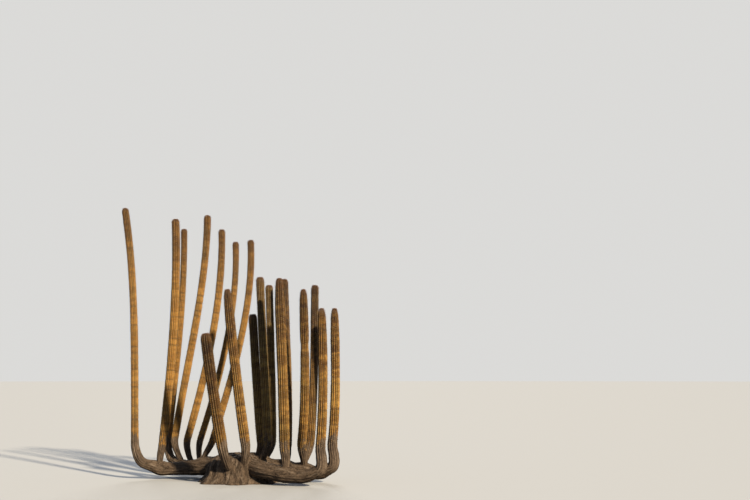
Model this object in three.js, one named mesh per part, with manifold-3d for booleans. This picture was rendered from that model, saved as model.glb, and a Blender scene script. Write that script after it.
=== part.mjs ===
// Organ pipe cactus: a clump of tall ribbed columns on low woody boughs that spread from one root crown.
// Millimetres, +Z up. The origin is the middle of the flat cut under the crown, at ground level.
// +X runs to the right of the clump as it is usually seen, and +Y to its back.
import * as THREE from "three";
import { mergeVertices } from "three/addons/utils/BufferGeometryUtils.js";
import Module from "manifold-3d";

const wasm = await Module();
wasm.setup();

// Root crown: a short stout woody foot, wider than deep.
const CROWN = { height: 430, flare: 620, waist: 470, shoulder: 430, depth: 0.8, lobes: 7, lobing: 0.06 };
const CROWN_SIDES = 28;

// Low boughs: their routes from inside the crown to the bend where each turns up into a column.
// girth is the diameter in the crown and at the bend.
const BOUGHS = {
  bough_left: {
    girth: [330, 158],
    route: [[-200, 50, 250], [-560, 300, 205], [-960, 420, 165], [-1290, 405, 165], [-1500, 345, 235]],
  },
  bough_back: {
    girth: [290, 140],
    route: [[-120, 150, 250], [-450, 500, 200], [-830, 765, 160], [-1080, 905, 175], [-1200, 985, 240]],
  },
  bough_right: {
    girth: [320, 176],
    route: [
      [200, 10, 250], [460, 60, 205], [720, 80, 165], [960, 10, 155], [1220, -110, 145], [1376, -190, 225],
    ],
  },
  bough_front_right: {
    girth: [300, 174],
    route: [[140, -120, 250], [430, -390, 200], [715, -540, 160], [1020, -665, 145], [1210, -750, 225]],
  },
};
const BOUGH_TAPER = 0.8; // power of its narrowing: under 1, most of it is near the crown
const BOUGH_SIDES = 14;
const BOUGH_STATION = 190; // spacing of the sections along a bough
const KNOBS = 0.035; // unevenness of a bough, as a share of its radius

// Columns, from left to right in two drifts. Each springs from a bough, at a share of the bough's length,
// or from the crown; at 1 it carries its bough on. knee is where it stands at knee height, tip is its top,
// and lean is its sideways run over rise, at the knee and at the tip. notch is where growth once stopped,
// as a share of its length, taper is how far it narrows towards the tip, and dome is the height of its
// rounded tip, in radii.
const COLUMNS = {
  tall_stem_1: { on: "bough_left", at: 1, girth: 124,
    knee: [-1670, 300], tip: [-1990, 550, 4265], lean: [-0.05, -0.2] },
  tall_stem_2: { on: "bough_left", at: 0.83, girth: 142,
    knee: [-1256, 420], tip: [-1180, 600, 4095], lean: [0.08, -0.07] },
  tall_stem_3: { on: "bough_back", at: 1, girth: 116,
    knee: [-1300, 1050], tip: [-1160, 1260, 4025], lean: [0.078, -0.047] },
  tall_stem_4: { on: "bough_back", at: 0.84, girth: 128,
    knee: [-1165, 880], tip: [-787, 1350, 4276], lean: [0.12, -0.03] },
  tall_stem_5: { on: "bough_back", at: 0.7, girth: 125,
    knee: [-948, 820], tip: [-528, 1250, 4015], lean: [0.25, -0.06] },
  tall_stem_6: { on: "bough_back", at: 0.57, girth: 114,
    knee: [-744, 850], tip: [-311, 1380, 3821], lean: [0.28, -0.08] },
  tall_stem_7: { on: "bough_left", at: 0.35, girth: 118,
    knee: [-472, 320], tip: [28, 660, 3761], lean: [0.28, -0.08] },
  front_stem_1: { girth: 178,
    knee: [-206, -560], tip: [-443, -750, 2209], lean: [-0.17, -0.11] },
  front_stem_2: { girth: 160, taper: 0.2, dome: 1.7,
    knee: [124, -430], tip: [-164, -560, 2869], lean: [-0.15, -0.1] },
  front_stem_3: { girth: 143,
    knee: [315, -60], tip: [166, -100, 2524], lean: [-0.1, -0.07] },
  front_stem_4: { girth: 139,
    knee: [425, -240], tip: [282, -200, 3082], lean: [-0.04, -0.05] },
  front_stem_5: { girth: 134,
    knee: [440, 400], tip: [340, 600, 3028], lean: [-0.02, -0.05] },
  front_stem_6: { on: "bough_front_right", at: 0.56, girth: 166, taper: 0.22, dome: 1.6,
    knee: [714, -610], tip: [622, -710, 3019], lean: [-0.02, -0.03] },
  front_stem_7: { on: "bough_right", at: 0.37, girth: 147,
    knee: [700, 125], tip: [599, 350, 3102], lean: [0, -0.05] },
  front_stem_8: { on: "bough_right", at: 0.61, girth: 150, notch: 0.69, taper: 0.15, dome: 2.3,
    knee: [940, -180], tip: [951, -300, 2890], lean: [0.1, -0.02] },
  front_stem_9: { on: "bough_right", at: 0.57, girth: 136,
    knee: [1056, 50], tip: [1097, 200, 2994], lean: [0.07, 0] },
  front_stem_10: { on: "bough_front_right", at: 1, girth: 150, taper: 0.15, dome: 2.3,
    knee: [1249, -770], tip: [1259, -900, 2565], lean: [0.08, -0.03] },
  front_stem_11: { on: "bough_right", at: 1, girth: 152, taper: 0.15, dome: 2.3,
    knee: [1398, -200], tip: [1423, -300, 2603], lean: [0.1, -0.02] },
};
const KNEE = 600; // knee height
const IN_CROWN = { out: 0.62, up: 236 }; // a column's start in the crown: share of its knee's offset, height
const SPRING = 0.4; // how far a column leans along its bough where it springs from it, as run over rise
const RIBS = 13;
const RIB_DEPTH = 0.2; // depth of a groove, as a share of the column's radius
const FOOT_RIBS = 0.4; // how much of that depth is left at a column's foot
const FOOT_WIDTH = 0.7; // how far a column narrows where it springs from its bough
const FOOT_LENGTH = 540; // how far up it fills out
const TOP_WIDTH = 0.93; // its taper, from there to the tip
const NOTCH = { depth: 0.14, length: 90 };
const TAPER_LENGTH = 500;
const DOME = 1.25; // height of a blunt tip, in radii
const HEEL_STATIONS = [0, 150, 320]; // sections near the foot
const COLUMN_STATION = 520; // spacing of the sections above it
const DOME_STATIONS = [0.55, 0.87]; // sections in the tip, as shares of its height

const GAP = 0.4; // clearance between pieces that meet

const skin = new THREE.MeshStandardMaterial({ color: "#8c8245", roughness: 0.8, metalness: 0 });
const wood = new THREE.MeshStandardMaterial({ color: "#75624a", roughness: 0.92, metalness: 0 });
const vector = (p) => new THREE.Vector3(...p);
const domeHeight = (column) => (column.girth / 2) * (column.dome ?? DOME);
const { clamp, lerp, smoothstep } = THREE.MathUtils;

// A closed geometry as a solid that can be cut.
function solid(geometry) {
  const bare = geometry.clone();
  bare.deleteAttribute("normal");
  bare.deleteAttribute("uv");
  const merged = mergeVertices(bare, 1e-3);
  const index = merged.index.array;
  const faces = [];
  for (let i = 0; i < index.length; i += 3) {
    const [a, b, c] = index.slice(i, i + 3);
    if (a !== b && b !== c && c !== a) faces.push(a, b, c);
  }
  const vertProperties = merged.attributes.position.array;
  const triVerts = new Uint32Array(faces);
  return new wasm.Manifold(new wasm.Mesh({ numProp: 3, vertProperties, triVerts }));
}

function geometryOf(made) {
  const mesh = made.getMesh();
  const geometry = new THREE.BufferGeometry();
  geometry.setAttribute("position", new THREE.BufferAttribute(mesh.vertProperties, 3));
  geometry.setIndex(new THREE.BufferAttribute(mesh.triVerts, 1));
  geometry.computeVertexNormals();
  return geometry;
}

// A lathe of the profile, [share of the path, radius] from foot to tip, carried onto the path and closed.
// widthAt scales the radius by angle and share, and facing is the way a section's first point looks.
function limb(path, profile, sides, widthAt, facing) {
  const points = [[0, 0], ...profile, [1, 0]].map(([share, radius]) => new THREE.Vector2(radius, share));
  const geometry = new THREE.LatheGeometry(points, sides);
  const position = geometry.getAttribute("position");
  const vertex = new THREE.Vector3();
  for (let i = 0; i < position.count; i++) {
    vertex.fromBufferAttribute(position, i);
    const share = clamp(vertex.y, 0, 1);
    const angle = Math.atan2(vertex.x, vertex.z);
    const radius = Math.hypot(vertex.x, vertex.z) * widthAt(angle, share);
    const along = path.getTangentAt(share);
    const out = facing.clone().addScaledVector(along, -facing.dot(along)).normalize();
    const side = along.clone().cross(out);
    const place = path.getPointAt(share);
    place.addScaledVector(out, radius * Math.cos(angle)).addScaledVector(side, radius * Math.sin(angle));
    position.setXYZ(i, place.x, place.y, place.z);
  }
  return geometry;
}

// The crown's flat cut, root flare, waist and rounded top, lobed between its roots.
function crownSolid(grow) {
  const { height, flare, waist, shoulder, depth, lobes, lobing } = CROWN;
  const profile = [
    [0, 0], [0, flare], [0.12, flare * 0.9], [0.3, waist * 1.04], [0.55, waist],
    [0.78, shoulder], [0.92, shoulder * 0.8], [1, shoulder * 0.42], [1.02, 0],
  ];
  const points = profile.map(([share, radius]) => new THREE.Vector2(radius && radius + grow, share * height));
  const geometry = new THREE.LatheGeometry(points, CROWN_SIDES);
  geometry.rotateX(Math.PI / 2);
  const position = geometry.getAttribute("position");
  for (let i = 0; i < position.count; i++) {
    const [x, y, z] = [position.getX(i), position.getY(i), position.getZ(i)];
    const angle = Math.atan2(y, x);
    const low = Math.max(0, 1 - z / height);
    const swell = 1 + lobing * (0.4 + low) * Math.sin(lobes * angle) + 0.05 * Math.sin(2 * angle + 1);
    position.setXYZ(i, x * swell, y * swell * depth, z && z + grow);
  }
  return solid(geometry);
}

const boughPath = (bough) => new THREE.CatmullRomCurve3(bough.route.map(vector), false, "centripetal");

function boughSolid(bough, grow) {
  const path = boughPath(bough);
  const steps = Math.round(path.getLength() / BOUGH_STATION);
  const [wide, narrow] = bough.girth;
  const profile = [];
  for (let i = 0; i <= steps; i++) {
    const share = i / steps;
    profile.push([share, lerp(wide, narrow, share ** BOUGH_TAPER) / 2 + grow]);
  }
  const knobbly = (angle, share) => 1 + KNOBS * Math.sin(3 * angle + 9 * share);
  return solid(limb(path, profile, BOUGH_SIDES, knobbly, new THREE.Vector3(0, 0, 1)));
}

// Where a column starts, and the way it springs from there.
function columnStart(column) {
  if (!column.on) {
    const [x, y] = column.knee;
    const start = vector([IN_CROWN.out * x, IN_CROWN.out * y, IN_CROWN.up]);
    return [start, vector([x, y, KNEE]).normalize()];
  }
  const carrier = boughPath(BOUGHS[column.on]);
  const start = carrier.getPointAt(column.at);
  const along = carrier.getTangentAt(column.at);
  if (column.at === 1) return [start.addScaledVector(along, GAP), along];
  return [start, along.multiplyScalar(SPRING).add(new THREE.Vector3(0, 0, 1)).normalize()];
}

function bend(from, leaving, to, arriving, pull) {
  const handles = [from.clone().addScaledVector(leaving, pull), to.clone().addScaledVector(arriving, -pull)];
  return new THREE.CubicBezierCurve3(from, ...handles, to);
}

// The line of a column: a heel from its start up to the knee, then one long bend to the tip.
function columnPath(column) {
  const [start, springs] = columnStart(column);
  const knee = vector([...column.knee, KNEE]);
  const tip = vector(column.tip);
  const back = (tip.y - knee.y) / (tip.z - knee.z);
  const [low, high] = column.lean.map((run) => vector([run, back, 1]).normalize());
  const reach = start.distanceTo(knee) / 3;
  const rise = knee.distanceTo(tip) / 3;
  const path = new THREE.CurvePath();
  path.add(bend(start, springs, knee, low, reach));
  path.add(bend(knee, low, tip, high, rise));
  return path;
}

// Radius of a column at a distance from its start. One that carries its bough on starts as wide as that.
function columnRadius(column, far, length) {
  const full = column.girth / 2;
  const foot = column.at === 1 ? BOUGHS[column.on].girth[1] / 2 : full * FOOT_WIDTH;
  const filled = lerp(foot, full, smoothstep(far, 0, FOOT_LENGTH)) * lerp(1, TOP_WIDTH, far / length);
  const fromNotch = column.notch ? (far - column.notch * length) / NOTCH.length : Infinity;
  const notched = filled * (1 - NOTCH.depth * Math.exp(-(fromNotch ** 2)));
  const tapered = notched * (1 - (column.taper ?? 0) * (1 - smoothstep(length - far, 0, TAPER_LENGTH)));
  const dome = domeHeight(column);
  const up = Math.max(0, far - (length - dome)) / dome;
  return tapered * Math.sqrt(1 - up * up);
}

function columnSolid(column, grow) {
  const path = columnPath(column);
  const length = path.getLength();
  const dome = domeHeight(column);
  const shaft = length - dome;
  const stations = [...HEEL_STATIONS];
  const steps = Math.round((shaft - FOOT_LENGTH) / COLUMN_STATION);
  for (let i = 0; i <= steps; i++) stations.push(lerp(FOOT_LENGTH, shaft, i / steps));
  if (column.notch) stations.push(...[-1, 0, 1].map((side) => column.notch * length + side * NOTCH.length));
  if (column.taper) stations.push(length - TAPER_LENGTH / 2);
  stations.push(...DOME_STATIONS.map((share) => shaft + dome * share));
  stations.sort((a, b) => a - b);
  const profile = stations.map((far) => [far / length, columnRadius(column, far, length) + grow]);
  const ribbed = (angle, share) => {
    const full = smoothstep(share * length, 0, FOOT_LENGTH);
    return 1 - RIB_DEPTH * lerp(FOOT_RIBS, 1, full) * (0.5 - 0.5 * Math.cos(RIBS * angle));
  };
  return solid(limb(path, profile, 2 * RIBS, ribbed, new THREE.Vector3(0, 1, 0)));
}

// Each piece is cut clear of the ones before it, so the feet nest together without touching.
const cactus = new THREE.Group();
const cutters = [];
function addPiece(name, material, make) {
  const cut = cutters.reduce((left, cutter) => left.subtract(cutter), make(0));
  const body = cut.decompose().sort((a, b) => b.volume() - a.volume())[0];
  cutters.push(make(GAP));
  const mesh = new THREE.Mesh(geometryOf(body), material);
  mesh.name = name;
  cactus.add(mesh);
}
addPiece("root_crown", wood, crownSolid);
for (const [name, bough] of Object.entries(BOUGHS)) {
  addPiece(name, wood, (grow) => boughSolid(bough, grow));
}
for (const [name, column] of Object.entries(COLUMNS)) {
  addPiece(name, skin, (grow) => columnSolid(column, grow));
}

export default cactus;
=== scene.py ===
import math

import bmesh
import bpy
import numpy as np
from mathutils import Matrix, Vector, noise


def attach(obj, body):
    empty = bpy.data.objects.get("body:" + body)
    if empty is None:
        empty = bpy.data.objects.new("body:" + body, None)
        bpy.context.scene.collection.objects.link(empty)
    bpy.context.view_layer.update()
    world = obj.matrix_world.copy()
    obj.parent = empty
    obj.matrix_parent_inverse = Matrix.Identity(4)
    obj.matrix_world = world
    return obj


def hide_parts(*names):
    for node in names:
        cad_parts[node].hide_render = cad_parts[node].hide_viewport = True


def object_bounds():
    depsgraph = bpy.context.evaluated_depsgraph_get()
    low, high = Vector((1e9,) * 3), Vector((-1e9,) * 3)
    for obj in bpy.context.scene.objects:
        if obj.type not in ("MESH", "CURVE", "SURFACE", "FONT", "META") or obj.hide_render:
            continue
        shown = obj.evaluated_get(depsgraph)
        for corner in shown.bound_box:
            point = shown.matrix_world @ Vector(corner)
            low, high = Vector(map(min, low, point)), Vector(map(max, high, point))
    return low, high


# An organ pipe cactus: ribbed columns on low woody boughs, with felt pads and spines along the ribs.
# Metres, +Z up, the origin in the middle of the crown's foot.

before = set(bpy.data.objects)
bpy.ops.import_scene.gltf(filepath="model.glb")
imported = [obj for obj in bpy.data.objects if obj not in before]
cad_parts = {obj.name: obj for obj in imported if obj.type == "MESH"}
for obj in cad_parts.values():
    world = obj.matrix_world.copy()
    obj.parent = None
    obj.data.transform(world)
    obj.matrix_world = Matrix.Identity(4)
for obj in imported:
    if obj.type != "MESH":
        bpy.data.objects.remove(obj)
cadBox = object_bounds()
cadLow, cadHigh = (np.array(corner) for corner in cadBox)
print("frame loaded:", len(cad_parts), "nodes")

dice = np.random.default_rng(17)


def lerp(a, b, share):
    return a + (b - a) * share


def smoothstep(value, low, high):
    share = np.clip((value - low) / (high - low), 0, 1)
    return share * share * (3 - 2 * share)


def unit(vectors):
    vectors = np.asarray(vectors, float)
    return vectors / np.linalg.norm(vectors, axis=-1, keepdims=True)


# Lines that the limbs follow

lineSteps = 400


def measuredLine(places):
    # a line as close points, with the distance of each from the start
    steps = np.linalg.norm(np.diff(places, axis=0), axis=1)
    places = places[np.concatenate([[True], steps > 1e-9])]
    steps = steps[steps > 1e-9]
    far = np.concatenate([[0], np.cumsum(steps)])
    ways = unit(np.gradient(places, far, axis=0))
    return {"far": far, "places": places, "ways": ways, "length": far[-1]}


def stretch(line, low, high):
    # the line's close points between two distances
    return line["places"][(line["far"] >= low) & (line["far"] <= high)]


def along(line, far, what="places"):
    found = [np.interp(far, line["far"], line[what][:, axis]) for axis in range(3)]
    found = np.stack(found, axis=-1)
    return unit(found) if what == "ways" else found


def bend(start, leaving, end, arriving):
    # a cubic curve whose handles are a third of the distance
    pull = np.linalg.norm(end - start) / 3
    t = np.linspace(0, 1, lineSteps)[:, None]
    first, second = start + leaving * pull, end - arriving * pull
    return (1 - t) ** 3 * start + 3 * (1 - t) ** 2 * t * first + 3 * (1 - t) * t * t * second + t ** 3 * end


def throughPoints(route):
    # a smooth curve through the points, its knots spaced by the root of their distances
    points = [np.array(point, float) for point in route]
    points = [2 * points[0] - points[1]] + points + [2 * points[-1] - points[-2]]
    t = np.linspace(0, 1, lineSteps // 4)[:, None]
    stretches = []
    for p0, p1, p2, p3 in zip(points, points[1:], points[2:], points[3:]):
        k0, k1, k2 = (np.linalg.norm(b - a) ** 0.5 for a, b in ((p0, p1), (p1, p2), (p2, p3)))
        leave = ((p1 - p0) / k0 - (p2 - p0) / (k0 + k1) + (p2 - p1) / k1) * k1
        arrive = ((p2 - p1) / k1 - (p3 - p1) / (k1 + k2) + (p3 - p2) / k2) * k1
        bends = -3 * p1 + 3 * p2 - 2 * leave - arrive
        twists = 2 * p1 - 2 * p2 + leave + arrive
        stretches.append(p1 + leave * t + bends * t ** 2 + twists * t ** 3)
    return np.concatenate(stretches)


# The plant's limbs, as they stand in the frame

boughs = {
    "bough_left": {"girth": (0.330, 0.158), "route": (
        (-0.200, 0.050, 0.250), (-0.560, 0.300, 0.205), (-0.960, 0.420, 0.165),
        (-1.290, 0.405, 0.165), (-1.500, 0.345, 0.235))},
    "bough_back": {"girth": (0.290, 0.140), "route": (
        (-0.120, 0.150, 0.250), (-0.450, 0.500, 0.200), (-0.830, 0.765, 0.160),
        (-1.080, 0.905, 0.175), (-1.200, 0.985, 0.240))},
    "bough_right": {"girth": (0.320, 0.176), "route": (
        (0.200, 0.010, 0.250), (0.460, 0.060, 0.205), (0.720, 0.080, 0.165),
        (0.960, 0.010, 0.155), (1.220, -0.110, 0.145), (1.376, -0.190, 0.225))},
    "bough_front_right": {"girth": (0.300, 0.174), "route": (
        (0.140, -0.120, 0.250), (0.430, -0.390, 0.200), (0.715, -0.540, 0.160),
        (1.020, -0.665, 0.145), (1.210, -0.750, 0.225))},
}

# on and at: the bough that a column springs from, and where. knee and tip: places on its line.
# lean: its sideways run over rise, at the knee and at the tip. notch: where growth once stopped, as a
# share of its length. taper: how far it narrows towards the tip. dome: height of its rounded tip, in
# radii. skin: one of skinKinds.
columns = {
    "tall_stem_1": {"on": "bough_left", "at": 1, "girth": 0.124, "skin": "golden",
                    "knee": (-1.670, 0.300), "tip": (-1.990, 0.550, 4.265), "lean": (-0.05, -0.2)},
    "tall_stem_2": {"on": "bough_left", "at": 0.83, "girth": 0.142, "skin": "golden",
                    "knee": (-1.256, 0.420), "tip": (-1.180, 0.600, 4.095), "lean": (0.08, -0.07)},
    "tall_stem_3": {"on": "bough_back", "at": 1, "girth": 0.116, "skin": "golden",
                    "knee": (-1.300, 1.050), "tip": (-1.160, 1.260, 4.025), "lean": (0.078, -0.047)},
    "tall_stem_4": {"on": "bough_back", "at": 0.84, "girth": 0.128, "skin": "golden",
                    "knee": (-1.165, 0.880), "tip": (-0.787, 1.350, 4.276), "lean": (0.12, -0.03)},
    "tall_stem_5": {"on": "bough_back", "at": 0.7, "girth": 0.125, "skin": "golden",
                    "knee": (-0.948, 0.820), "tip": (-0.528, 1.250, 4.015), "lean": (0.25, -0.06)},
    "tall_stem_6": {"on": "bough_back", "at": 0.57, "girth": 0.114, "skin": "golden",
                    "knee": (-0.744, 0.850), "tip": (-0.311, 1.380, 3.821), "lean": (0.28, -0.08)},
    "tall_stem_7": {"on": "bough_left", "at": 0.35, "girth": 0.118, "skin": "golden",
                    "knee": (-0.472, 0.320), "tip": (0.028, 0.660, 3.761), "lean": (0.28, -0.08)},
    "front_stem_1": {"girth": 0.178, "skin": "duskyPaintedShade",
                     "knee": (-0.206, -0.560), "tip": (-0.443, -0.750, 2.209), "lean": (-0.17, -0.11)},
    "front_stem_2": {"girth": 0.160, "taper": 0.2, "dome": 1.7, "skin": "mellowPartShade",
                     "knee": (0.124, -0.430), "tip": (-0.164, -0.560, 2.869), "lean": (-0.15, -0.1)},
    "front_stem_3": {"girth": 0.143, "skin": "olive",
                     "knee": (0.315, -0.060), "tip": (0.166, -0.100, 2.524), "lean": (-0.1, -0.07)},
    "front_stem_4": {"girth": 0.139, "skin": "olive",
                     "knee": (0.425, -0.240), "tip": (0.282, -0.200, 3.082), "lean": (-0.04, -0.05)},
    "front_stem_5": {"girth": 0.134, "skin": "olive",
                     "knee": (0.440, 0.400), "tip": (0.340, 0.600, 3.028), "lean": (-0.02, -0.05)},
    "front_stem_6": {"on": "bough_front_right", "at": 0.56, "girth": 0.166, "taper": 0.22, "dome": 1.6,
                     "skin": "mellowPartShade",
                     "knee": (0.714, -0.610), "tip": (0.622, -0.710, 3.019), "lean": (-0.02, -0.03)},
    "front_stem_7": {"on": "bough_right", "at": 0.37, "girth": 0.147, "skin": "duskyPaintedShade",
                     "knee": (0.700, 0.125), "tip": (0.599, 0.350, 3.102), "lean": (0, -0.05)},
    "front_stem_8": {"on": "bough_right", "at": 0.61, "girth": 0.150, "notch": 0.69, "taper": 0.15,
                     "dome": 2.3, "skin": "mellowPartShade",
                     "knee": (0.940, -0.180), "tip": (0.951, -0.300, 2.890), "lean": (0.1, -0.02)},
    "front_stem_9": {"on": "bough_right", "at": 0.57, "girth": 0.136, "skin": "duskyPaintedShade",
                     "knee": (1.056, 0.050), "tip": (1.097, 0.200, 2.994), "lean": (0.07, 0)},
    "front_stem_10": {"on": "bough_front_right", "at": 1, "girth": 0.150, "taper": 0.15, "dome": 2.3,
                      "skin": "striped",
                      "knee": (1.249, -0.770), "tip": (1.259, -0.900, 2.565), "lean": (0.08, -0.03)},
    "front_stem_11": {"on": "bough_right", "at": 1, "girth": 0.152, "taper": 0.15, "dome": 2.3,
                      "skin": "striped",
                      "knee": (1.398, -0.200), "tip": (1.423, -0.300, 2.603), "lean": (0.1, -0.02)},
}

# in metres, or shares where a note says so
growth = {
    "ribs": 13,
    "ribDepth": 0.23,           # share of the column's radius
    "ribShape": 1.6,            # power of the fall from crest to groove
    "footRibs": 0.4,            # share of the ribs' depth that a column's foot has
    "footWidth": 0.7,           # share of its full width where a column springs from its bough
    "footLength": 0.54,
    "topWidth": 0.93,           # share of its full width at the top
    "notchDepth": 0.14,         # share of the radius
    "notchLength": 0.09,
    "taperLength": 0.5,
    "dome": 1.25,               # height of a blunt tip, in radii
    "knee": 0.6,                # height of every knee
    "crownOut": 0.62,           # a column's start in the crown, as a share of its knee's offset
    "crownUp": 0.236,
    "spring": 0.4,              # its lean along the bough that it springs from, as a share of its rise
    "gap": 0.0004,              # between a bough and the column that carries it on
    "boughTaper": 0.8,          # power of a bough's fall in width
    "knobs": 0.035,             # depth of a bough's three lobes, as a share of its radius
    "skinInset": 0.003,         # the skin lies this far inside the solid, to leave room for the pads
    "heel": 0.16,               # a column that carries its bough on rises out of it over this stretch
    "heelSink": 0.84,           # share of its width where that stretch starts
    "bulges": (0.016, 0.011),   # shares of the radius, of a slow and a fast swell along the column
    "bulgeTurns": (3.3, 7.9),
    "bulgesFrom": (0.3, 0.8),   # none below the first distance up the column, all from the second
    "meander": (0.01, 0.035),   # how far the ribs wander round the column, in radians
    "meanderTurns": 5.1,
    "meanderFrom": (0.3, 0.9),
    "firstYear": 0.6,           # the lowest year mark, as a share of footLength
    "lastYear": 0.12,           # the highest is about this far below the tip
    "yearLength": (0.05, 0.15),
    "yearDip": (0.010, 0.046),  # share of the radius
    "yearWidth": (0.008, 0.017),
    "young": (0.1, 1.45),       # young skin down to here below the tip, and old skin from here
    "areoleStep": 0.032,        # from one felt pad to the next along a rib
    "areoleRise": 0.0022,       # how far a rib swells under a pad
    "risesFrom": (0.2, 0.5),
    "risesUpTo": (0.05, 0.1),   # below the tip
    "corkFoot": (0.12, 0.78),   # all cork up to here, and none from here
    "barkFoot": (0.15, 0.75),   # the same for the bark's relief
    "feltTip": (0.13, 0.01),    # below the tip, where felt starts between the spines and is closed
    "pointsPerRib": 6,
    "tipRows": 12,
}


def boughLine(name):
    return measuredLine(throughPoints(boughs[name]["route"]))


def columnStart(column):
    if "on" not in column:
        x, y = column["knee"]
        start = np.array((growth["crownOut"] * x, growth["crownOut"] * y, growth["crownUp"]))
        return start, unit((x, y, growth["knee"]))
    carrier = boughLine(column["on"])
    far = column["at"] * carrier["length"]
    start, way = along(carrier, far), along(carrier, far, "ways")
    if column["at"] == 1:
        return start + way * growth["gap"], way
    return start, unit(way * growth["spring"] + np.array((0, 0, 1)))


def columnLine(column):
    # a heel from its start up to the knee, then one long bend to the tip
    start, springs = columnStart(column)
    knee = np.array((*column["knee"], growth["knee"]))
    tip = np.array(column["tip"])
    back = (tip[1] - knee[1]) / (tip[2] - knee[2])
    low, high = (unit((run, back, 1)) for run in column["lean"])
    return measuredLine(np.concatenate([bend(start, springs, knee, low), bend(knee, low, tip, high)]))


def carriesOn(column):
    return column.get("at") == 1


def skinLine(column):
    # the column's line; one that carries its bough on starts a little way back along the bough
    line = columnLine(column)
    if not carriesOn(column):
        return line, 0.0
    carrier = boughLine(column["on"])
    before = stretch(carrier, carrier["length"] - growth["heel"], carrier["length"])
    whole = measuredLine(np.concatenate([before, line["places"]]))
    back = whole["length"] - line["length"]
    whole["far"] = whole["far"] - back
    return whole, -back


def domeHeight(column):
    return column["girth"] / 2 * column.get("dome", growth["dome"])


def columnRadius(shape, far):
    column, length = shape["column"], shape["length"]
    full = column["girth"] / 2
    foot = full * growth["footWidth"]
    if carriesOn(column):
        foot = boughs[column["on"]]["girth"][1] / 2
    radius = lerp(foot, full, smoothstep(far, 0, growth["footLength"]))
    radius = radius * lerp(1, growth["topWidth"], np.maximum(far, 0) / length)
    heel = smoothstep(far, shape["start"], shape["start"] * 0.2 + 1e-6)
    radius = radius * lerp(growth["heelSink"], 1, heel)
    (broad, brief), (slow, fast) = growth["bulges"], growth["bulgeTurns"]
    bulge = broad * np.sin(far * slow + shape["phase"]) + brief * np.sin(far * fast + 2 * shape["phase"])
    radius = radius * (1 + bulge * smoothstep(far, *growth["bulgesFrom"]))
    if "notch" in column:
        fromNotch = (far - column["notch"] * length) / growth["notchLength"]
        radius = radius * (1 - growth["notchDepth"] * np.exp(-fromNotch ** 2))
    tapering = 1 - smoothstep(length - far, 0, growth["taperLength"])
    radius = radius * (1 - column.get("taper", 0) * tapering)
    dome = domeHeight(column)
    up = np.clip((far - (length - dome)) / dome, 0, 1)
    return np.maximum(radius - growth["skinInset"], 0) * np.sqrt(1 - up * up)


def yearMarks(length):
    # where growth paused, how deep the waist is there and how wide
    marks, far = [], growth["footLength"] * growth["firstYear"]
    while far < length - growth["lastYear"]:
        far += dice.uniform(*growth["yearLength"])
        marks.append((far, dice.uniform(*growth["yearDip"]), dice.uniform(*growth["yearWidth"])))
    return marks


def yearWaist(shape, far):
    # share by which the column narrows at its year marks, and how strongly the mark shows
    dip, mark = np.zeros_like(far), np.zeros_like(far)
    for place, depth, width in shape["years"]:
        near = np.exp(-((far - place) / width) ** 2)
        dip += depth * near
        mark = np.maximum(mark, near * depth / growth["yearDip"][1])
    return dip, mark


def segmentTone(shape, far):
    # a tone of its own for each stretch between two year marks
    places = [place for place, _, _ in shape["years"]]
    return shape["tones"][np.searchsorted(places, far)]


def ribTurn(angle):
    # 0 on a rib's crest and 1 in the groove, and the number of the rib
    phase = angle * growth["ribs"] / math.tau
    return 2 * np.abs(phase - np.round(phase)), np.round(phase).astype(int) % growth["ribs"]


def ribFall(turn):
    # 0 on a rib's crest and 1 in the groove, which is rounded too
    return np.sin(turn * math.pi / 2) ** growth["ribShape"]


def areoleSwell(far, rib):
    # 1 at a pad and 0 halfway to the next; every second rib is half a step on
    step = growth["areoleStep"]
    return 0.5 + 0.5 * np.cos(math.tau * (far / step + 0.5 * (rib % 2)))


backward = np.array((0.0, 1.0, 0.0))


def acrossLine(line, far):
    # two ways square to the line; angles round a limb count from the first, which points to the back
    way = along(line, far, "ways")
    out = unit(backward - way * (way @ backward)[..., None])
    return out, np.cross(way, out)


def skinPoint(shape, far, angle):
    # a point of a column's skin, at a distance from its start and an angle round it
    turn, rib = ribTurn(angle)
    depth = growth["ribDepth"] * lerp(growth["footRibs"], 1, smoothstep(far, 0, growth["footLength"]))
    dip, _ = yearWaist(shape, far)
    radius = columnRadius(shape, far) * (1 - depth * ribFall(turn)) * (1 - dip)
    crest = (1 - turn) ** 2 * smoothstep(far, *growth["risesFrom"])
    clear = smoothstep(shape["length"] - far, *growth["risesUpTo"])
    radius = radius + growth["areoleRise"] * (areoleSwell(far, rib) - 1) * crest * clear
    wander = np.sin(far * growth["meanderTurns"] + shape["phase"]) * smoothstep(far, *growth["meanderFrom"])
    turned = angle + shape["meander"] * wander
    out, side = acrossLine(shape["line"], far)
    return along(shape["line"], far) + (
        out * (radius * np.cos(turned))[..., None] + side * (radius * np.sin(turned))[..., None])


def shapeOf(column):
    # the column's line, and what sets it apart from the others
    line, start = skinLine(column)
    length = line["far"][-1]
    years = yearMarks(length)
    return {
        "column": column, "line": line, "start": start, "length": length, "years": years,
        "meander": dice.uniform(*growth["meander"]), "phase": dice.uniform(0, math.tau),
        "tones": dice.uniform(-1, 1, len(years) + 1),
    }


shapes = {name: shapeOf(column) for name, column in columns.items()}
print("columns laid out:", len(shapes))


# Shared shader groups. What they put out changes over the surface: masks, heights and one colour.

def newGroup(name, inputs, outputs):
    group = bpy.data.node_groups.new(name, "ShaderNodeTree")
    for label, kind, value in inputs:
        socket = group.interface.new_socket(label, in_out="INPUT", socket_type="NodeSocket" + kind)
        if value is not None:
            socket.default_value = value
    for label, kind in outputs:
        group.interface.new_socket(label, in_out="OUTPUT", socket_type="NodeSocket" + kind)
    return group, group.nodes.new("NodeGroupInput"), group.nodes.new("NodeGroupOutput")


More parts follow.
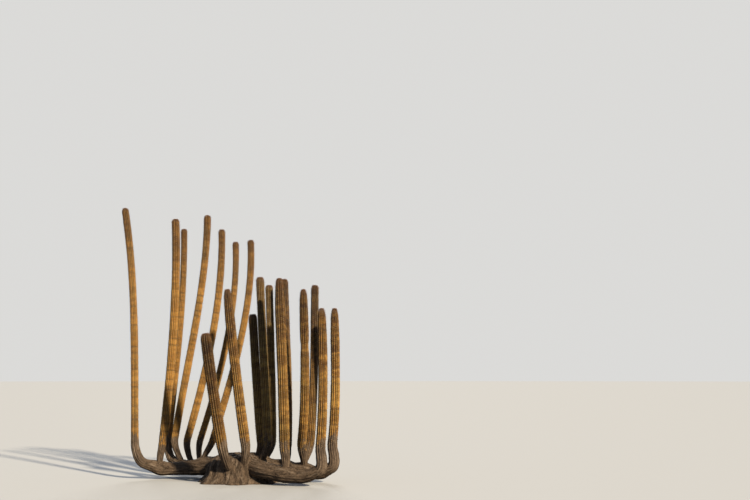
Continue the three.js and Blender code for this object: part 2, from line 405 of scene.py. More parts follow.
def addNode(tree, kind, links=None, **values):
    # a node with its settings, its inputs' values, and its inputs' links
    node = tree.nodes.new("ShaderNode" + kind)
    for key, value in values.items():
        setattr(node, key, value)
    for key, value in (links or {}).items():
        socket = node.inputs[key]
        if isinstance(value, bpy.types.NodeSocket):
            tree.links.new(value, socket)
        else:
            socket.default_value = value
    return node


def maths(tree, operation, *values):
    return addNode(tree, "Math", dict(enumerate(values)), operation=operation).outputs[0]


def times(tree, first, second):
    return maths(tree, "MULTIPLY", first, second)


def plus(tree, first, second):
    return maths(tree, "ADD", first, second)


def ranged(tree, value, low, high, toLow=0.0, toHigh=1.0):
    node = addNode(tree, "MapRange", {
        "Value": value, "From Min": low, "From Max": high, "To Min": toLow, "To Max": toHigh,
    }, interpolation_type="SMOOTHSTEP")
    return node.outputs["Result"]


def mixed(tree, share, first, second, blend="MIX"):
    # the Mix node's own sockets for colours: factor, A and B
    links = {0: share, 6: first, 7: second}
    return addNode(tree, "Mix", links, data_type="RGBA", blend_type=blend).outputs[2]


def colour(red, green, blue):
    return (red, green, blue, 1.0)


def darkened(tree, share, base, tone):
    # the base where share is 0, and the base times the tone where it is 1
    return mixed(tree, share, base, mixed(tree, 1.0, base, colour(*tone), "MULTIPLY"))


def stretched(tree, vector, scale):
    return addNode(tree, "Mapping", {"Vector": vector, "Scale": scale}).outputs[0]


def noisy(tree, vector, scale, detail=4.0, rough=0.55, twist=0.0):
    node = addNode(tree, "TexNoise", {
        "Vector": vector, "Scale": scale, "Detail": detail, "Roughness": rough, "Distortion": twist})
    return node.outputs["Fac"]


def growthLines():
    # fine rings across a limb, broad bands and small dark mottles, from a place in the straightened limb
    group, given, made = newGroup("growthLines", [
        ("Vector", "Vector", None), ("Fineness", "Float", 160.0),
    ], [("Lines", "Float"), ("Tone", "Float"), ("Mottle", "Float")])
    vector = given.outputs["Vector"]
    lines = noisy(group, stretched(group, vector, (0.2, 0.2, 1)), given.outputs["Fineness"], 3, 0.6)
    broad = noisy(group, stretched(group, vector, (0.3, 0.3, 1)), 13.0, 3, 0.65)
    small = noisy(group, stretched(group, vector, (0.8, 0.8, 1)), 27.0, 3, 0.7, 0.3)
    group.links.new(ranged(group, lines, 0.3, 0.7), made.inputs["Lines"])
    group.links.new(ranged(group, broad, 0.43, 0.6), made.inputs["Tone"])
    group.links.new(ranged(group, small, 0.46, 0.64), made.inputs["Mottle"])
    return group


barkLook = {
    "cork": colour(0.180, 0.128, 0.088), "pale": colour(0.330, 0.262, 0.200),
    "dark": colour(0.085, 0.060, 0.043), "crack": colour(0.020, 0.014, 0.010),
}


def fissures(tree, vector, scale, width):
    # thin dark lines where a noise crosses its middle value
    level = maths(tree, "ABSOLUTE", maths(tree, "SUBTRACT", noisy(tree, vector, scale, 3, 0.6, 0.5), 0.5))
    return ranged(tree, level, 0.0, width, 1.0, 0.0)


def corkBark():
    # dry cork: plates and fissures drawn out along the limb, a few checks across it
    group, given, made = newGroup(
        "corkBark", [("Vector", "Vector", None)], [("Bark", "Color"), ("Height", "Float")])
    vector = given.outputs["Vector"]
    lengthwise = stretched(group, vector, (1, 1, 0.17))
    crosswise = stretched(group, vector, (0.3, 0.3, 1))
    opened = ranged(group, noisy(group, stretched(group, vector, (1, 1, 0.5)), 11.0, 3), 0.3, 0.58)
    deep = times(group, fissures(group, lengthwise, 42.0, 0.06), opened)
    checks = times(group, fissures(group, crosswise, 38.0, 0.03), 0.5)
    cracks = maths(group, "MAXIMUM", deep, checks)
    grain = noisy(group, stretched(group, vector, (1, 1, 0.4)), 190.0, 4, 0.65)
    flakes = ranged(group, noisy(group, lengthwise, 24.0, 5, 0.7), 0.5, 0.68)
    tone = ranged(group, noisy(group, vector, 7.0, 4, 0.6), 0.32, 0.66)
    bark = mixed(group, times(group, tone, 0.75), barkLook["cork"], barkLook["dark"])
    bark = mixed(group, times(group, flakes, 0.6), bark, barkLook["pale"])
    bark = darkened(group, ranged(group, grain, 0.35, 0.7, 0.0, 0.45), bark, (0.5, 0.48, 0.46))
    bark = mixed(group, times(group, cracks, 0.9), bark, barkLook["crack"])
    rise = plus(group, times(group, grain, 0.35), times(group, flakes, 0.4))
    group.links.new(bark, made.inputs["Bark"])
    group.links.new(maths(group, "SUBTRACT", rise, cracks), made.inputs["Height"])
    return group


def weathering():
    # patches of dust, scars and old hurts, and small specks
    group, given, made = newGroup("weathering", [
        ("Vector", "Vector", None), ("Amount", "Float", 0.5)], [("Patches", "Float"), ("Specks", "Float")])
    vector = given.outputs["Vector"]
    broad = noisy(group, vector, 5.5, 5, 0.62, 0.4)
    start = maths(group, "SUBTRACT", 0.86, times(group, given.outputs["Amount"], 0.4))
    specks = addNode(group, "TexVoronoi", {"Vector": vector, "Scale": 75.0}).outputs["Distance"]
    group.links.new(ranged(group, broad, start, 0.9), made.inputs["Patches"])
    group.links.new(ranged(group, specks, 0.1, 0.26, 1.0, 0.0), made.inputs["Specks"])
    return group


growthGroup, corkGroup, weatherGroup = growthLines(), corkBark(), weathering()


def newMaterial(name, specular, roughness=0.5):
    material = bpy.data.materials.new(name)
    material.use_nodes = True
    tree = material.node_tree
    shader = tree.nodes["Principled BSDF"]
    shader.inputs["Roughness"].default_value = roughness
    shader.inputs["Specular IOR Level"].default_value = specular
    return material, tree, shader


def placed(tree, group, **links):
    return addNode(tree, "Group", links, node_tree=group)


def bumped(tree, shader, height, strength, distance):
    bump = addNode(tree, "Bump", {"Height": height, "Strength": strength, "Distance": distance})
    tree.links.new(bump.outputs[0], shader.inputs["Normal"])


def own(tree, name, what="Fac"):
    return addNode(tree, "Attribute", attribute_name=name).outputs[what]


def toned(base, tint):
    return colour(*(channel * share for channel, share in zip(base, tint)))


# crest: pale for the spines on the crests and as a painted highlight; groove: painted shade
skinLook = {
    "gold": colour(0.445, 0.232, 0.048), "olive": colour(0.265, 0.162, 0.038),
    "crest": colour(0.740, 0.470, 0.160), "groove": colour(0.050, 0.027, 0.010),
    "year": colour(0.075, 0.038, 0.014), "scar": colour(0.270, 0.165, 0.085),
    "tip": colour(0.120, 0.066, 0.028),
}

# olive: how much of the skin is green. tint: shares of its red, green and blue. stripes: how strongly
# the crests' painted highlight and the grooves' painted shade show. mottle: how strongly bands, mottles and
# the years' own tones show.
skinKinds = {
    "golden": {"olive": 0.12, "tint": (0.97, 0.96, 0.85), "stripes": 0.45, "mottle": 0.75},
    "striped": {"olive": 0.3, "tint": (1.18, 1.18, 1.05), "stripes": 0.9, "mottle": 1.25},
    # a little darker tint: partly painted shade, for columns in part shade
    "mellowPartShade": {"olive": 0.4, "tint": (0.86, 0.85, 0.74), "stripes": 0.9, "mottle": 1.25},
    # a much darker tint: painted shade, for columns that stand in shade
    "duskyPaintedShade": {"olive": 0.5, "tint": (0.57, 0.55, 0.47), "stripes": 0.9, "mottle": 1.25},
    # greener for its own skin, and bluer and brighter as painted cool light, for columns that stand in shade
    "olive": {"olive": 0.95, "tint": (1.04, 1.17, 1.4), "stripes": 0.6, "mottle": 0.8},
}

# what the skin is multiplied by where a mark is at its fullest
skinShades = {
    "band": (0.44, 0.36, 0.30), "mottle": (0.42, 0.34, 0.28), "line": (0.66, 0.62, 0.56),
    "year": (0.50, 0.47, 0.43), "young": (0.50, 0.46, 0.40),
}


def ribPaint(tree, kind, look, place):
    # golden and olive stretches that change along the column and from rib to rib
    drift = plus(tree, noisy(tree, place, 2.6, 3, 0.6), times(tree, own(tree, "ribTone"), 0.22))
    hue = ranged(tree, plus(tree, drift, (kind["olive"] - 0.5) * 0.5), 0.32, 0.68)
    skin = mixed(tree, hue, look["gold"], look["olive"])
    # painted highlight on the crests, partly for their pale spines, and painted shade in the grooves
    groove, stripes = own(tree, "groove"), kind["stripes"]
    skin = mixed(tree, ranged(tree, groove, 0.6, 0.1, 0.0, 0.6 * stripes), skin, look["crest"])
    return mixed(tree, ranged(tree, groove, 0.55, 0.95, 0.0, 0.85 * stripes), skin, look["groove"])


def growthPaint(tree, kind, lines, skin):
    # bands and mottles fade on the older skin, each year's growth has its own tone, and the young
    # skin near the tip is darker
    young, strength = own(tree, "young"), kind["mottle"]
    fresh = ranged(tree, young, 0.0, 0.7, 0.6, 1.0)
    shares = {
        "band": times(tree, times(tree, lines.outputs["Tone"], 0.8 * strength), fresh),
        "mottle": times(tree, times(tree, lines.outputs["Mottle"], 0.85 * strength), fresh),
        "line": times(tree, lines.outputs["Lines"], 0.4),
        "year": ranged(tree, own(tree, "segment"), -1.0, 1.0, 0.0, 0.35 + 0.25 * strength),
        "young": young,
    }
    for mark, share in shares.items():
        skin = darkened(tree, share, skin, skinShades[mark])
    return skin


def corkedFoot(tree, grain, edge):
    # the foot is cork, which climbs in patches
    climb = noisy(tree, stretched(tree, grain, (1, 1, 0.6)), 11.0, 2, 0.5)
    ragged = plus(tree, times(tree, edge, 0.8), times(tree, climb, 1.5))
    return ranged(tree, plus(tree, own(tree, "foot"), maths(tree, "SUBTRACT", ragged, 1.15)), 0.35, 0.6)


def skinMaterial(name):
    kind = skinKinds[name]
    look = {key: toned(value, kind["tint"]) for key, value in skinLook.items()}
    material, tree, shader = newMaterial(name + "Skin", 0.3)
    grain, place = own(tree, "grain", "Vector"), addNode(tree, "TexCoord").outputs["Object"]
    lines = placed(tree, growthGroup, Vector=grain, Fineness=150.0)
    cork = placed(tree, corkGroup, Vector=grain)
    weather = placed(tree, weatherGroup, Vector=place, Amount=0.42)
    fine, hurts = lines.outputs["Lines"], weather.outputs["Patches"]
    edge = noisy(tree, stretched(tree, grain, (1, 1, 0.35)), 30.0, 5, 0.7)
    corked = corkedFoot(tree, grain, edge)
    felted = ranged(tree, plus(tree, own(tree, "felt"), times(tree, edge, 0.3)), 0.4, 1.1, 0.0, 0.8)
    skin = growthPaint(tree, kind, lines, ribPaint(tree, kind, look, place))
    for share, tone in (
            (times(tree, own(tree, "year"), 0.85), look["year"]),
            (times(tree, hurts, 0.75), look["scar"]),
            (times(tree, weather.outputs["Specks"], 0.16), look["scar"]),
            (corked, cork.outputs["Bark"]),
            (felted, look["tip"])):
        skin = mixed(tree, share, skin, tone)
    tree.links.new(skin, shader.inputs["Base Color"])
    rough = plus(tree, times(tree, fine, 0.16), times(tree, corked, 0.22))
    rough = plus(tree, rough, times(tree, hurts, 0.15))
    tree.links.new(plus(tree, rough, 0.5), shader.inputs["Roughness"])
    height = times(tree, times(tree, cork.outputs["Height"], corked), 2.2)
    height = plus(tree, height, plus(tree, times(tree, fine, -0.25), times(tree, hurts, -0.5)))
    bumped(tree, shader, height, 0.7, 0.002)
    return material


def woodMaterial():
    material, tree, shader = newMaterial("oldWood", 0.2)
    grain, place = own(tree, "grain", "Vector"), addNode(tree, "TexCoord").outputs["Object"]
    cork = placed(tree, corkGroup, Vector=grain)
    weather = placed(tree, weatherGroup, Vector=place, Amount=0.6)
    bark = cork.outputs["Bark"]
    for share, tone in (
            (times(tree, weather.outputs["Patches"], 0.5), "pale"),
            # painted shade: the crack colour darkens the bough's rib grooves and the crown's furrows
            (ranged(tree, own(tree, "groove"), 0.5, 1.0, 0.0, 0.6), "crack"),
            (times(tree, weather.outputs["Specks"], 0.25), "pale")):
        bark = mixed(tree, share, bark, barkLook[tone])
    tree.links.new(bark, shader.inputs["Base Color"])
    tree.links.new(ranged(tree, cork.outputs["Height"], -1.0, 0.7, 0.95, 0.78), shader.inputs["Roughness"])
    bumped(tree, shader, cork.outputs["Height"], 0.85, 0.005)
    return material


def plainMaterial(name, tone, roughness, specular=0.2, sheen=0.0):
    # one even tone, for parts so small that each takes one of several
    material, _, shader = newMaterial(name, specular, roughness)
    shader.inputs["Base Color"].default_value = tone
    shader.inputs["Sheen Weight"].default_value = sheen
    return material


skins = {name: skinMaterial(name) for name in skinKinds}
oldWood = woodMaterial()
feltKinds = [
    plainMaterial("rustFelt", colour(0.110, 0.052, 0.024), 0.95, 0.1, 0.4),
    plainMaterial("brownFelt", colour(0.075, 0.045, 0.025), 0.95, 0.1, 0.4),
    plainMaterial("greyFelt", colour(0.160, 0.125, 0.090), 0.95, 0.1, 0.4),
]
spineKinds = [
    plainMaterial("strawSpine", colour(0.500, 0.370, 0.200), 0.5),
    plainMaterial("greySpine", colour(0.280, 0.225, 0.165), 0.65),
    plainMaterial("rustSpine", colour(0.200, 0.095, 0.045), 0.5),
    plainMaterial("blackSpine", colour(0.060, 0.040, 0.028), 0.55),
]
print("materials made:", len(bpy.data.materials))


# Limbs: a flat grid wrapped round a line, its seam and its ends closed

mergeGap = 1e-5


def keepMarks(bm, marks):
    # numbers and places that the materials read, one for each vertex
    for key, values in marks.items():
        layers = bm.verts.layers
        layer = layers.float_vector.new(key) if np.ndim(values) == 2 else layers.float.new(key)
        for vertex, value in zip(bm.verts, values):
            vertex[layer] = value


def wrappedLimb(name, around, distances, placeOf, marksOf, material):
    # placeOf and marksOf take the distance and the angle of every vertex
    bm = bmesh.new()
    rows = len(distances) - 1
    bmesh.ops.create_grid(bm, x_segments=around, y_segments=rows, size=0.5)
    flat = np.array([vertex.co[:2] for vertex in bm.verts]) + 0.5
    column = np.round(flat[:, 0] * around).astype(int)
    row = np.round(flat[:, 1] * rows).astype(int)
    far, angle = distances[row], column * math.tau / around
    places = placeOf(far, angle)
    # the first and last rows close on the line itself
    for end in (0, rows):
        places[row == end] = places[row == end].mean(axis=0)
    places = np.clip(places, cadLow, cadHigh)
    for vertex, place in zip(bm.verts, places):
        vertex.co = place
    keepMarks(bm, marksOf(far, angle))
    bmesh.ops.remove_doubles(bm, verts=bm.verts, dist=mergeGap)
    bmesh.ops.recalc_face_normals(bm, faces=bm.faces)
    return finished(name, bm, [material], smooth=True)


def shown(name, mesh, materials):
    for material in materials:
        mesh.materials.append(material)
    piece = bpy.data.objects.new(name, mesh)
    bpy.context.scene.collection.objects.link(piece)
    return piece


def finished(name, bm, materials, smooth=False):
    for face in bm.faces:
        face.smooth = smooth
    mesh = bpy.data.meshes.new(name)
    bm.to_mesh(mesh)
    bm.free()
    return shown(name, mesh, materials)


def columnDistances(shape):
    # rows half a pad step apart, and closer ones in the rounded tip
    length, dome = shape["length"], domeHeight(shape["column"])
    step = growth["areoleStep"] / 2
    rows = np.concatenate([np.arange(0, shape["start"], -step)[:0:-1], np.arange(0, length - dome, step)])
    tipRows = length - dome * (1 - np.sin(np.linspace(0, math.pi / 2, growth["tipRows"])))
    return np.concatenate([[shape["start"]], rows, tipRows])


def grainOf(radius, far, angle):
    # a place in the limb as if it stood straight, which the bark and the growth lines follow
    return np.stack([radius * np.cos(angle), radius * np.sin(angle), far], axis=1)


# depth: share of the radius. footGrain: how fine the relief is on a column's foot, across it in both
# directions and along it.
barkRelief = {"fineness": 9.0, "depth": 0.09, "round": 3, "long": 2, "footGrain": (0.3, 0.3, 0.6)}


def fractals(places, fineness=1.0, fade=0.9, gap=2.1, octaves=4):
    return np.array([noise.fractal(Vector(place) * fineness, fade, gap, octaves) for place in places])


def barkNoise(far, angle, shift, grain):
    # rough bark, as on a straight limb that is equally wide all along; shift sets limbs apart
    places = grainOf(barkRelief["round"], far * barkRelief["long"] + shift, angle)
    return fractals(places * np.array(grain) * barkRelief["fineness"])


def makeColumn(name, shape):
    length, phase = shape["length"], shape["phase"]
    ribTones = dice.uniform(-1, 1, growth["ribs"])

    def marksOf(far, angle):
        turn, rib = ribTurn(angle)
        _, year = yearWaist(shape, far)
        return {
            "groove": turn,
            "ribTone": ribTones[rib],
            "year": year,
            "segment": segmentTone(shape, far),
            "young": 1 - smoothstep(length - far, *growth["young"]),
            "foot": 1 - smoothstep(far, *growth["corkFoot"]),
            "felt": smoothstep(length - far, *growth["feltTip"]),
            "grain": grainOf(columnRadius(shape, far), far + 3 * phase, angle),
        }

    def placeOf(far, angle):
        centre = along(shape["line"], far)
        rough = 1 - smoothstep(far, *growth["barkFoot"])
        relief = np.zeros(len(far))
        low = rough > 0
        relief[low] = barkNoise(far[low], angle[low], phase, barkRelief["footGrain"]) * rough[low]
        relief = 1 + barkRelief["depth"] * relief
        return centre + (skinPoint(shape, far, angle) - centre) * relief[:, None]

    piece = wrappedLimb(name + "_skin", growth["ribs"] * growth["pointsPerRib"], columnDistances(shape),
                        placeOf, marksOf, skins[shape["column"]["skin"]])
    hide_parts(name)
    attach(piece, "root")


for name, shape in shapes.items():
    makeColumn(name, shape)
print("column skins made")


# Boughs: old stems lying low, their ribs nearly grown over

boughShape = {
    "rowStep": 0.014, "points": 91, "endRows": 8,
    "ribs": (0.04, 0.08),       # their depth at the crown and at the far end, as shares of the radius
    # ribPaint: how strongly the rib grooves are painted darker, as painted shade
    "ribPaint": 0.8,
    "rounding": 0.07,           # how far it runs on inside the column that follows it
    "settled": 0.985,           # share of its width before the bark's relief
    "relief": 0.6,              # share of barkRelief's depth
    "coarse": (0.45, 0.45, 0.5), "fine": (1.4, 1.4, 1.1), "fineShare": 0.4,
    "shift": 50,
}

# a swelling round each column's foot; it follows the column over the stretch called heel
collar = {"rise": 0.024, "reach": 0.075, "heel": 0.4, "widthAt": 0.05}


def collarSwell(points, names):
    # 1 where a column's foot comes out, falling to 0 away from it
    swell = np.zeros(len(points))
    for name in names:
        shape = shapes[name]
        # every sixth point of its line is close enough
        heel = stretch(shape["line"], 0, collar["heel"])[::6]
        reach = np.linalg.norm(points[:, None] - heel[None], axis=2).min(axis=1)
        clear = np.maximum(reach - columnRadius(shape, collar["widthAt"]), 0)
        swell = np.maximum(swell, np.exp(-(clear / collar["reach"]) ** 2))
    return swell


def columnsOn(name):
    # the column that carries a bough on, and those that spring from it on the way
    here = [key for key, column in columns.items() if column.get("on") == name]
    follower = next(key for key in here if carriesOn(columns[key]))
    return follower, [key for key in here if key != follower]


def makeBough(name):
    line = boughLine(name)
    follower, riders = columnsOn(name)
    length, rounding = line["length"], boughShape["rounding"]
    wide, narrow = boughs[name]["girth"]
    # its rounded end lies in the column that carries it on
    onward = stretch(shapes[follower]["line"], 1e-4, rounding * 1.5)
    whole = measuredLine(np.concatenate([line["places"], onward]))
    endRows = length + rounding * np.sin(np.linspace(0, math.pi / 2, boughShape["endRows"]))
    distances = np.concatenate([np.arange(0, length, boughShape["rowStep"]), endRows])

    def radiusAt(far):
        return lerp(wide, narrow, np.minimum(far / length, 1) ** growth["boughTaper"]) / 2

    def placeOf(far, angle):
        share = np.minimum(far / length, 1)
        turn, _ = ribTurn(angle)
        radius = radiusAt(far) * (1 + growth["knobs"] * np.sin(3 * angle + 9 * share) * (1 - share))
        radius = radius * (1 - lerp(*boughShape["ribs"], share) * ribFall(turn))
        shift = wide * boughShape["shift"]
        coarse, fine = (barkNoise(far, angle, shift, boughShape[key]) for key in ("coarse", "fine"))
        relief = boughShape["relief"] * (coarse + boughShape["fineShare"] * fine)
        radius = radius * (boughShape["settled"] + barkRelief["depth"] * relief)
        centre = along(whole, far)
        out, side = acrossLine(whole, far)
        outward = out * np.cos(angle)[:, None] + side * np.sin(angle)[:, None]
        radius = radius + collar["rise"] * collarSwell(centre + outward * radius[:, None], riders)
        up = np.clip((far - length) / rounding, 0, 1)
        return centre + outward * (radius * np.sqrt(1 - up * up))[:, None]

    def marksOf(far, angle):
        turn, _ = ribTurn(angle)
        return {"groove": turn * boughShape["ribPaint"], "grain": grainOf(radiusAt(far), far, angle)}

    piece = wrappedLimb(name + "_bark", boughShape["points"], distances, placeOf, marksOf, oldWood)
    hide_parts(name)
    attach(piece, "root")


for name in boughs:
    makeBough(name)
print("boughs made")


# Crown: a lobed woody foot, spun from its outline and then roughened

crown = {
    "height": 0.430, "flare": 0.620, "waist": 0.470, "shoulder": 0.430, "depth": 0.8,
    "lobes": 7, "lobing": 0.06, "lobingUp": 0.4,        # and how much of it reaches the top
    "oval": 0.05, "points": 210, "rows": 60, "inset": 0.012,
    "furrow": 0.020, "knob": 0.016,     # height of the relief
    "furrowGrain": (5, 2.2), "furrowFineness": 1.6,     # round the crown and down its sides
    "knobFineness": 6.0,
    # furrowPaint: painted shade, darker in the furrows
    "furrowPaint": (0.45, 1.4),         # dark where the ground is even, and how much more in a furrow
    "grainRadius": 0.45,                # the bark's grain runs as on a limb of this radius
}


def crownRings():
    # the solid's outline, from the middle of the flat cut round the flare and the waist to the top
    flare, waist, shoulder, height = (crown[key] for key in ("flare", "waist", "shoulder", "height"))
    outline = [
        (0, 0), (0, flare), (0.12, flare * 0.9), (0.3, waist * 1.04), (0.55, waist),
        (0.78, shoulder), (0.92, shoulder * 0.8), (1.0, shoulder * 0.42), (1.02, 0)]
    shares, radii = (np.array(values, float) for values in zip(*outline))
    steps = np.concatenate([[0], np.cumsum(np.hypot(np.diff(shares * height), np.diff(radii)))])
    spots = np.linspace(0, steps[-1], crown["rows"])
    spots[np.argmin(np.abs(spots - steps[1]))] = steps[1]
    return [(np.interp(spot, steps, radii), 0, np.interp(spot, steps, shares) * height) for spot in spots]


def lobedCrown():
    # the outline spun round, then drawn into lobes that fade upwards
    bm = bmesh.new()
    ring = [bm.verts.new(place) for place in crownRings()]
    edges = [bm.edges.new(pair) for pair in zip(ring, ring[1:])]
    bmesh.ops.spin(bm, geom=ring + edges, cent=(0, 0, 0), axis=(0, 0, 1), dvec=(0, 0, 0),
                   angle=math.tau, steps=crown["points"], use_merge=True, use_duplicate=False)
    bmesh.ops.remove_doubles(bm, verts=bm.verts, dist=mergeGap)
    for vertex in bm.verts:
        x, y, z = vertex.co
        angle, low = math.atan2(y, x), max(0.0, 1 - z / crown["height"])
        swell = 1 + crown["lobing"] * (crown["lobingUp"] + low) * math.sin(crown["lobes"] * angle)
        swell += crown["oval"] * math.sin(2 * angle + 1)
        vertex.co = (x * swell, y * swell * crown["depth"], z)
    bmesh.ops.recalc_face_normals(bm, faces=bm.faces)
    bm.normal_update()
    return bm


def reliefWays(places, normals):
    # straight out, but the rim of the flat cut moves sideways only, and the cut itself stays
    onCut = places[:, 2] < 1e-6
    level = np.linalg.norm(normals[:, :2], axis=1)
    sideways = normals * (1, 1, 0) / np.maximum(level, 0.1)[:, None]
    onRim = (level > 0.1)[:, None]
    return np.where(onCut[:, None], np.where(onRim, sideways, 0), normals)


def makeCrown():
    bm = lobedCrown()
    places = np.array([vertex.co[:] for vertex in bm.verts])
    normals = np.array([vertex.normal[:] for vertex in bm.verts])
    # furrows run from the top outwards and down the sides
    turn = np.arctan2(places[:, 1] / crown["depth"], places[:, 0])
    run = np.hypot(places[:, 0], places[:, 1]) - places[:, 2]
    across, down = crown["furrowGrain"]
    furrow = fractals(grainOf(across, run * down, turn), crown["furrowFineness"])
    knob = fractals(places, crown["knobFineness"], 1.0, 2.0, 2)
    swell = collarSwell(places, [key for key, column in columns.items() if "on" not in column])
    rise = crown["furrow"] * furrow + crown["knob"] * knob + collar["rise"] * swell - crown["inset"]
    places = places + reliefWays(places, normals) * rise[:, None]
    places[:, 2] = np.maximum(places[:, 2], 0)
    for vertex, place in zip(bm.verts, places):
        vertex.co = place
    even, deep = crown["furrowPaint"]
    keepMarks(bm, {
        "groove": np.clip(even - deep * furrow, 0, 1),
        "grain": grainOf(crown["grainRadius"], run, turn),
    })
    piece = finished("root_crown_bark", bm, [oldWood], smooth=True)
    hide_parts("root_crown")
    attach(piece, "root")


makeCrown()
print("crown made")


# Areoles: a felt pad with a star of spines on it, along every rib from a little above the foot to the tip

spineSet = {
    "pad": 0.0048, "padHeight": 0.0026, "spineWidth": 0.0007, "sink": 0.0006,
    "sizes": (0.8, 1.2),
    "firstPad": 0.36,       # pads start this far up a column
    "crowded": 0.08,        # over this stretch below the tip each gap is a share of the one below it
    "closing": 0.78,
    "crowdedPads": 8,
    "apex": 0.009,
    "nudge": 0.0015,        # how far to both sides the skin is felt for its slope
    "boxMargin": 0.0015,
    "forms": 4,             # stars of each kind that differ
    "jitter": 0.25,         # of the turn from one spine to the next
    "lean": (0, 25),        # of the spine in the middle, in degrees
}

# how far up a column, as a share of its length, each kind starts
ageing = {
    "fullStars": 0.4, "edge": 0.1,      # old stars below, with a ragged edge between them
    "youngStars": 0.93,
    "rustFelt": 0.9,
    "greyFelt": (0.85, 0.25),           # how many pads below are grey, at the foot and at the tip
    "rustSpines": 0.95,
    "spineTones": (0.42, 0.36, 0.12, 0.10),     # how many stars below have each of spineKinds
}

# splay is the angle from straight out, length is in metres
starKinds = {
    "old": {"count": 6, "splay": (50, 80), "length": (0.008, 0.014), "centre": 0.016},
    "full": {"count": 8, "splay": (42, 78), "length": (0.010, 0.017), "centre": 0.022},
    "young": {"count": 9, "splay": (28, 70), "length": (0.012, 0.020), "centre": 0.028},
}


def readTemplate(bm):
    bmesh.ops.triangulate(bm, faces=bm.faces)
    bmesh.ops.recalc_face_normals(bm, faces=bm.faces)
    bm.verts.index_update()
    corners = np.array([vertex.co[:] for vertex in bm.verts])
    faces = np.array([[vertex.index for vertex in face.verts] for face in bm.faces])
    bm.free()
    return corners, faces


def padTemplate():
    bm = bmesh.new()
    bmesh.ops.create_cone(bm, cap_ends=True, segments=6, radius1=spineSet["pad"],
                          radius2=0, depth=spineSet["padHeight"])
    bmesh.ops.translate(bm, verts=bm.verts, vec=(0, 0, spineSet["padHeight"] / 2 - spineSet["sink"]))
    return readTemplate(bm)


def starTemplate(kind):
    # spikes that splay from the pad's middle, and one that stands out
    bm = bmesh.new()
    spikes = [(dice.uniform(*kind["splay"]), dice.uniform(*kind["length"])) for _ in range(kind["count"])]
    spikes.append((dice.uniform(*spineSet["lean"]), kind["centre"]))
    for index, (splay, length) in enumerate(spikes):
        made = bmesh.ops.create_cone(bm, cap_ends=True, segments=3, radius1=spineSet["spineWidth"],
                                     radius2=0, depth=length)
        jitter = dice.uniform(-spineSet["jitter"], spineSet["jitter"])
        turn = math.tau * (index + jitter) / kind["count"]
        tilt = Matrix.Rotation(turn, 4, "Z") @ Matrix.Rotation(math.radians(splay), 4, "Y")
        bmesh.ops.transform(bm, verts=made["verts"], matrix=tilt @ Matrix.Translation((0, 0, length / 2)))
    return readTemplate(bm)


padForm = padTemplate()
starForms = [[starTemplate(kind) for _ in range(spineSet["forms"])] for kind in starKinds.values()]


def areolesOf(shape):
    # where each pad on a column is, its ways outward and upward, and how far up it sits, as a share
    length, step = shape["length"], growth["areoleStep"]
    found = []
    for rib in range(growth["ribs"]):
        shift = 0.5 * (rib % 2)
        first = math.ceil(spineSet["firstPad"] / step + shift)
        regular = (np.arange(first, int(length / step) + 2) - shift) * step
        regular = regular[regular < length - spineSet["crowded"]]
        closer = np.arange(1, spineSet["crowdedPads"] + 1) - shift
        crowded = length - spineSet["crowded"] * spineSet["closing"] ** closer
        far = np.concatenate([regular, crowded[crowded < length - spineSet["apex"]]])
        found.append(np.stack([far, np.full(len(far), rib * math.tau / growth["ribs"])], axis=1))
    far, angle = np.concatenate(found).T
    here = skinPoint(shape, far, angle)
    nudge = spineSet["nudge"]
    upward = unit(skinPoint(shape, far + nudge, angle) - skinPoint(shape, far - nudge, angle))
    across = unit(skinPoint(shape, far, angle + nudge) - skinPoint(shape, far, angle - nudge))
    outward = unit(np.cross(across, upward))
    centre = along(shape["line"], far)
    outward *= np.sign(np.sum(outward * (here - centre), axis=1))[:, None]
    return here, outward, upward, far / length


def layOut(form, places, turns, sizes):
    # copies of one template, each turned and sized, apart from those that reach out of the solids' box;
    # turns holds a 3x3 for each copy
    corners, faces = form
    copies = np.einsum("nij,kj->nki", turns, corners) * sizes[:, None, None] + places[:, None, :]
    low, high = cadLow + spineSet["boxMargin"], cadHigh - spineSet["boxMargin"]
    copies = copies[np.all((copies > low) & (copies < high), axis=(1, 2))]
    laid = faces[None] + (np.arange(len(copies)) * len(corners))[:, None, None]
    return copies.reshape(-1, 3), laid.reshape(-1, 3)


def joinedPiece(name, parts, materials):
    # parts holds vertices, triangles and the material of each lot of copies
    vertices, triangles, kinds, start = [], [], [], 0
    for corners, faces, kind in parts:
        vertices.append(corners)
        triangles.append(faces + start)
        kinds.append(np.full(len(faces), kind))
        start += len(corners)
    vertices, triangles, kinds = (np.concatenate(lot) for lot in (vertices, triangles, kinds))
    mesh = bpy.data.meshes.new(name)
    mesh.vertices.add(len(vertices))
    mesh.vertices.foreach_set("co", vertices.astype(np.float32).ravel())
    mesh.loops.add(triangles.size)
    mesh.loops.foreach_set("vertex_index", triangles.astype(np.int32).ravel())
    mesh.polygons.add(len(triangles))
    mesh.polygons.foreach_set("loop_start", np.arange(0, triangles.size, 3, dtype=np.int32))
    mesh.polygons.foreach_set("material_index", kinds.astype(np.int32))
    mesh.update(calc_edges=True)
    mesh.validate()
    return shown(name, mesh, materials)


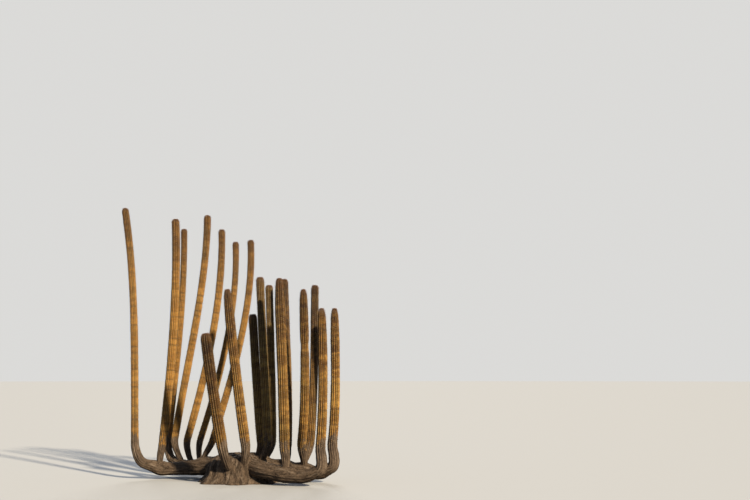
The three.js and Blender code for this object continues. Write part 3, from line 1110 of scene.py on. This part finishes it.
def dressColumn(name, shape):
    here, outward, upward, up = areolesOf(shape)
    count = len(here)
    side = np.cross(upward, outward)
    spins = dice.uniform(0, math.tau, count)
    cos, sin = np.cos(spins)[:, None], np.sin(spins)[:, None]
    starTurns = np.stack([side * cos + upward * sin, upward * cos - side * sin, outward], axis=2)
    padTurns = np.stack([side, upward, outward], axis=2)
    sizes = dice.uniform(*spineSet["sizes"], count)
    fullFrom = ageing["fullStars"] + dice.uniform(-ageing["edge"], ageing["edge"], count)
    starOf = np.where(up > ageing["youngStars"], 2, np.where(up < fullFrom, 0, 1))
    grey = dice.random(count) < lerp(*ageing["greyFelt"], up)
    feltOf = np.where(up > ageing["rustFelt"], 0, np.where(grey, 2, 1))
    tones = dice.choice(len(spineKinds), count, p=ageing["spineTones"])
    toneOf = np.where(up > ageing["rustSpines"], 2, tones)
    formOf = dice.integers(spineSet["forms"], size=count)
    pads, stars = [], []
    for kind in range(len(feltKinds)):
        mine = feltOf == kind
        pads.append((*layOut(padForm, here[mine], padTurns[mine], sizes[mine]), kind))
    for star, forms in enumerate(starForms):
        for index, form in enumerate(forms):
            for tone in range(len(spineKinds)):
                mine = (starOf == star) & (formOf == index) & (toneOf == tone)
                stars.append((*layOut(form, here[mine], starTurns[mine], sizes[mine]), tone))
    felt = joinedPiece(name + "_felt", pads, feltKinds)
    spines = joinedPiece(name + "_spines", stars, spineKinds)
    for piece in (felt, spines):
        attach(piece, "root")
    return count


padCount = sum(dressColumn(name, shape) for name, shape in shapes.items())
print("areoles made:", padCount)


# Studio: a wide pale floor, a low warm key and a plain pale sky

studio = {
    "floor": colour(0.54, 0.56, 0.58), "bounce": colour(0.125, 0.125, 0.125),
    "floorRadius": 260.0, "floorPoints": 96,
    "sky": colour(0.175, 0.22, 0.29), "backdrop": colour(0.71, 0.705, 0.69),
    "keyTurn": 37.5, "keyHeight": 28.0, "keyStrength": 6.0, "keyAngle": 3.0, "key": (1.0, 0.83, 0.59),
    "backTurn": 180.0, "backHeight": 34.0, "backStrength": 1.4, "backAngle": 24.0,
    "back": (1.0, 0.93, 0.84),
    "cameraPlace": (2.034, -16.0, 1.6), "cameraTilt": 6.8428, "lens": 50.0, "farthest": 1000,
}


def makeFloor():
    bm = bmesh.new()
    bmesh.ops.create_circle(bm, cap_ends=True, segments=studio["floorPoints"],
                             radius=studio["floorRadius"])
    material, tree, shader = newMaterial("paleFloor", 0.1, 0.9)
    # it throws less light back than the pale face that the camera sees would
    seen = addNode(tree, "LightPath").outputs["Is Camera Ray"]
    tree.links.new(mixed(tree, seen, studio["bounce"], studio["floor"]), shader.inputs["Base Color"])
    floor = finished("floor", bm, [material])


def makeSun(name):
    # its turn is counted from the camera's side towards +X, its height from the horizon
    sun = bpy.data.lights.new(name + "Light", "SUN")
    sun.energy = studio[name + "Strength"]
    sun.angle = math.radians(studio[name + "Angle"])
    sun.color = studio[name]
    lamp = bpy.data.objects.new(name + "Light", sun)
    lamp.rotation_euler = (math.radians(90 - studio[name + "Height"]), 0, math.radians(studio[name + "Turn"]))
    bpy.context.scene.collection.objects.link(lamp)


def makeSky():
    world = bpy.data.worlds.new("sky")
    world.use_nodes = True
    tree = world.node_tree
    # what the camera sees of it is a pale backdrop, brighter than its light
    seen = addNode(tree, "LightPath").outputs["Is Camera Ray"]
    face = mixed(tree, seen, studio["sky"], studio["backdrop"])
    tree.links.new(face, tree.nodes["Background"].inputs["Color"])
    bpy.context.scene.world = world


def makeCamera():
    camera = bpy.data.objects.new("camera", bpy.data.cameras.new("camera"))
    camera.data.lens = studio["lens"]
    camera.data.clip_end = studio["farthest"]
    camera.location = studio["cameraPlace"]
    camera.rotation_euler = (math.radians(90 + studio["cameraTilt"]), 0, 0)
    bpy.context.scene.collection.objects.link(camera)
    bpy.context.scene.camera = camera


makeFloor()
makeSun("key")
makeSun("back")
makeSky()
makeCamera()
bpy.context.scene.view_settings.view_transform = "Standard"
print("studio made")
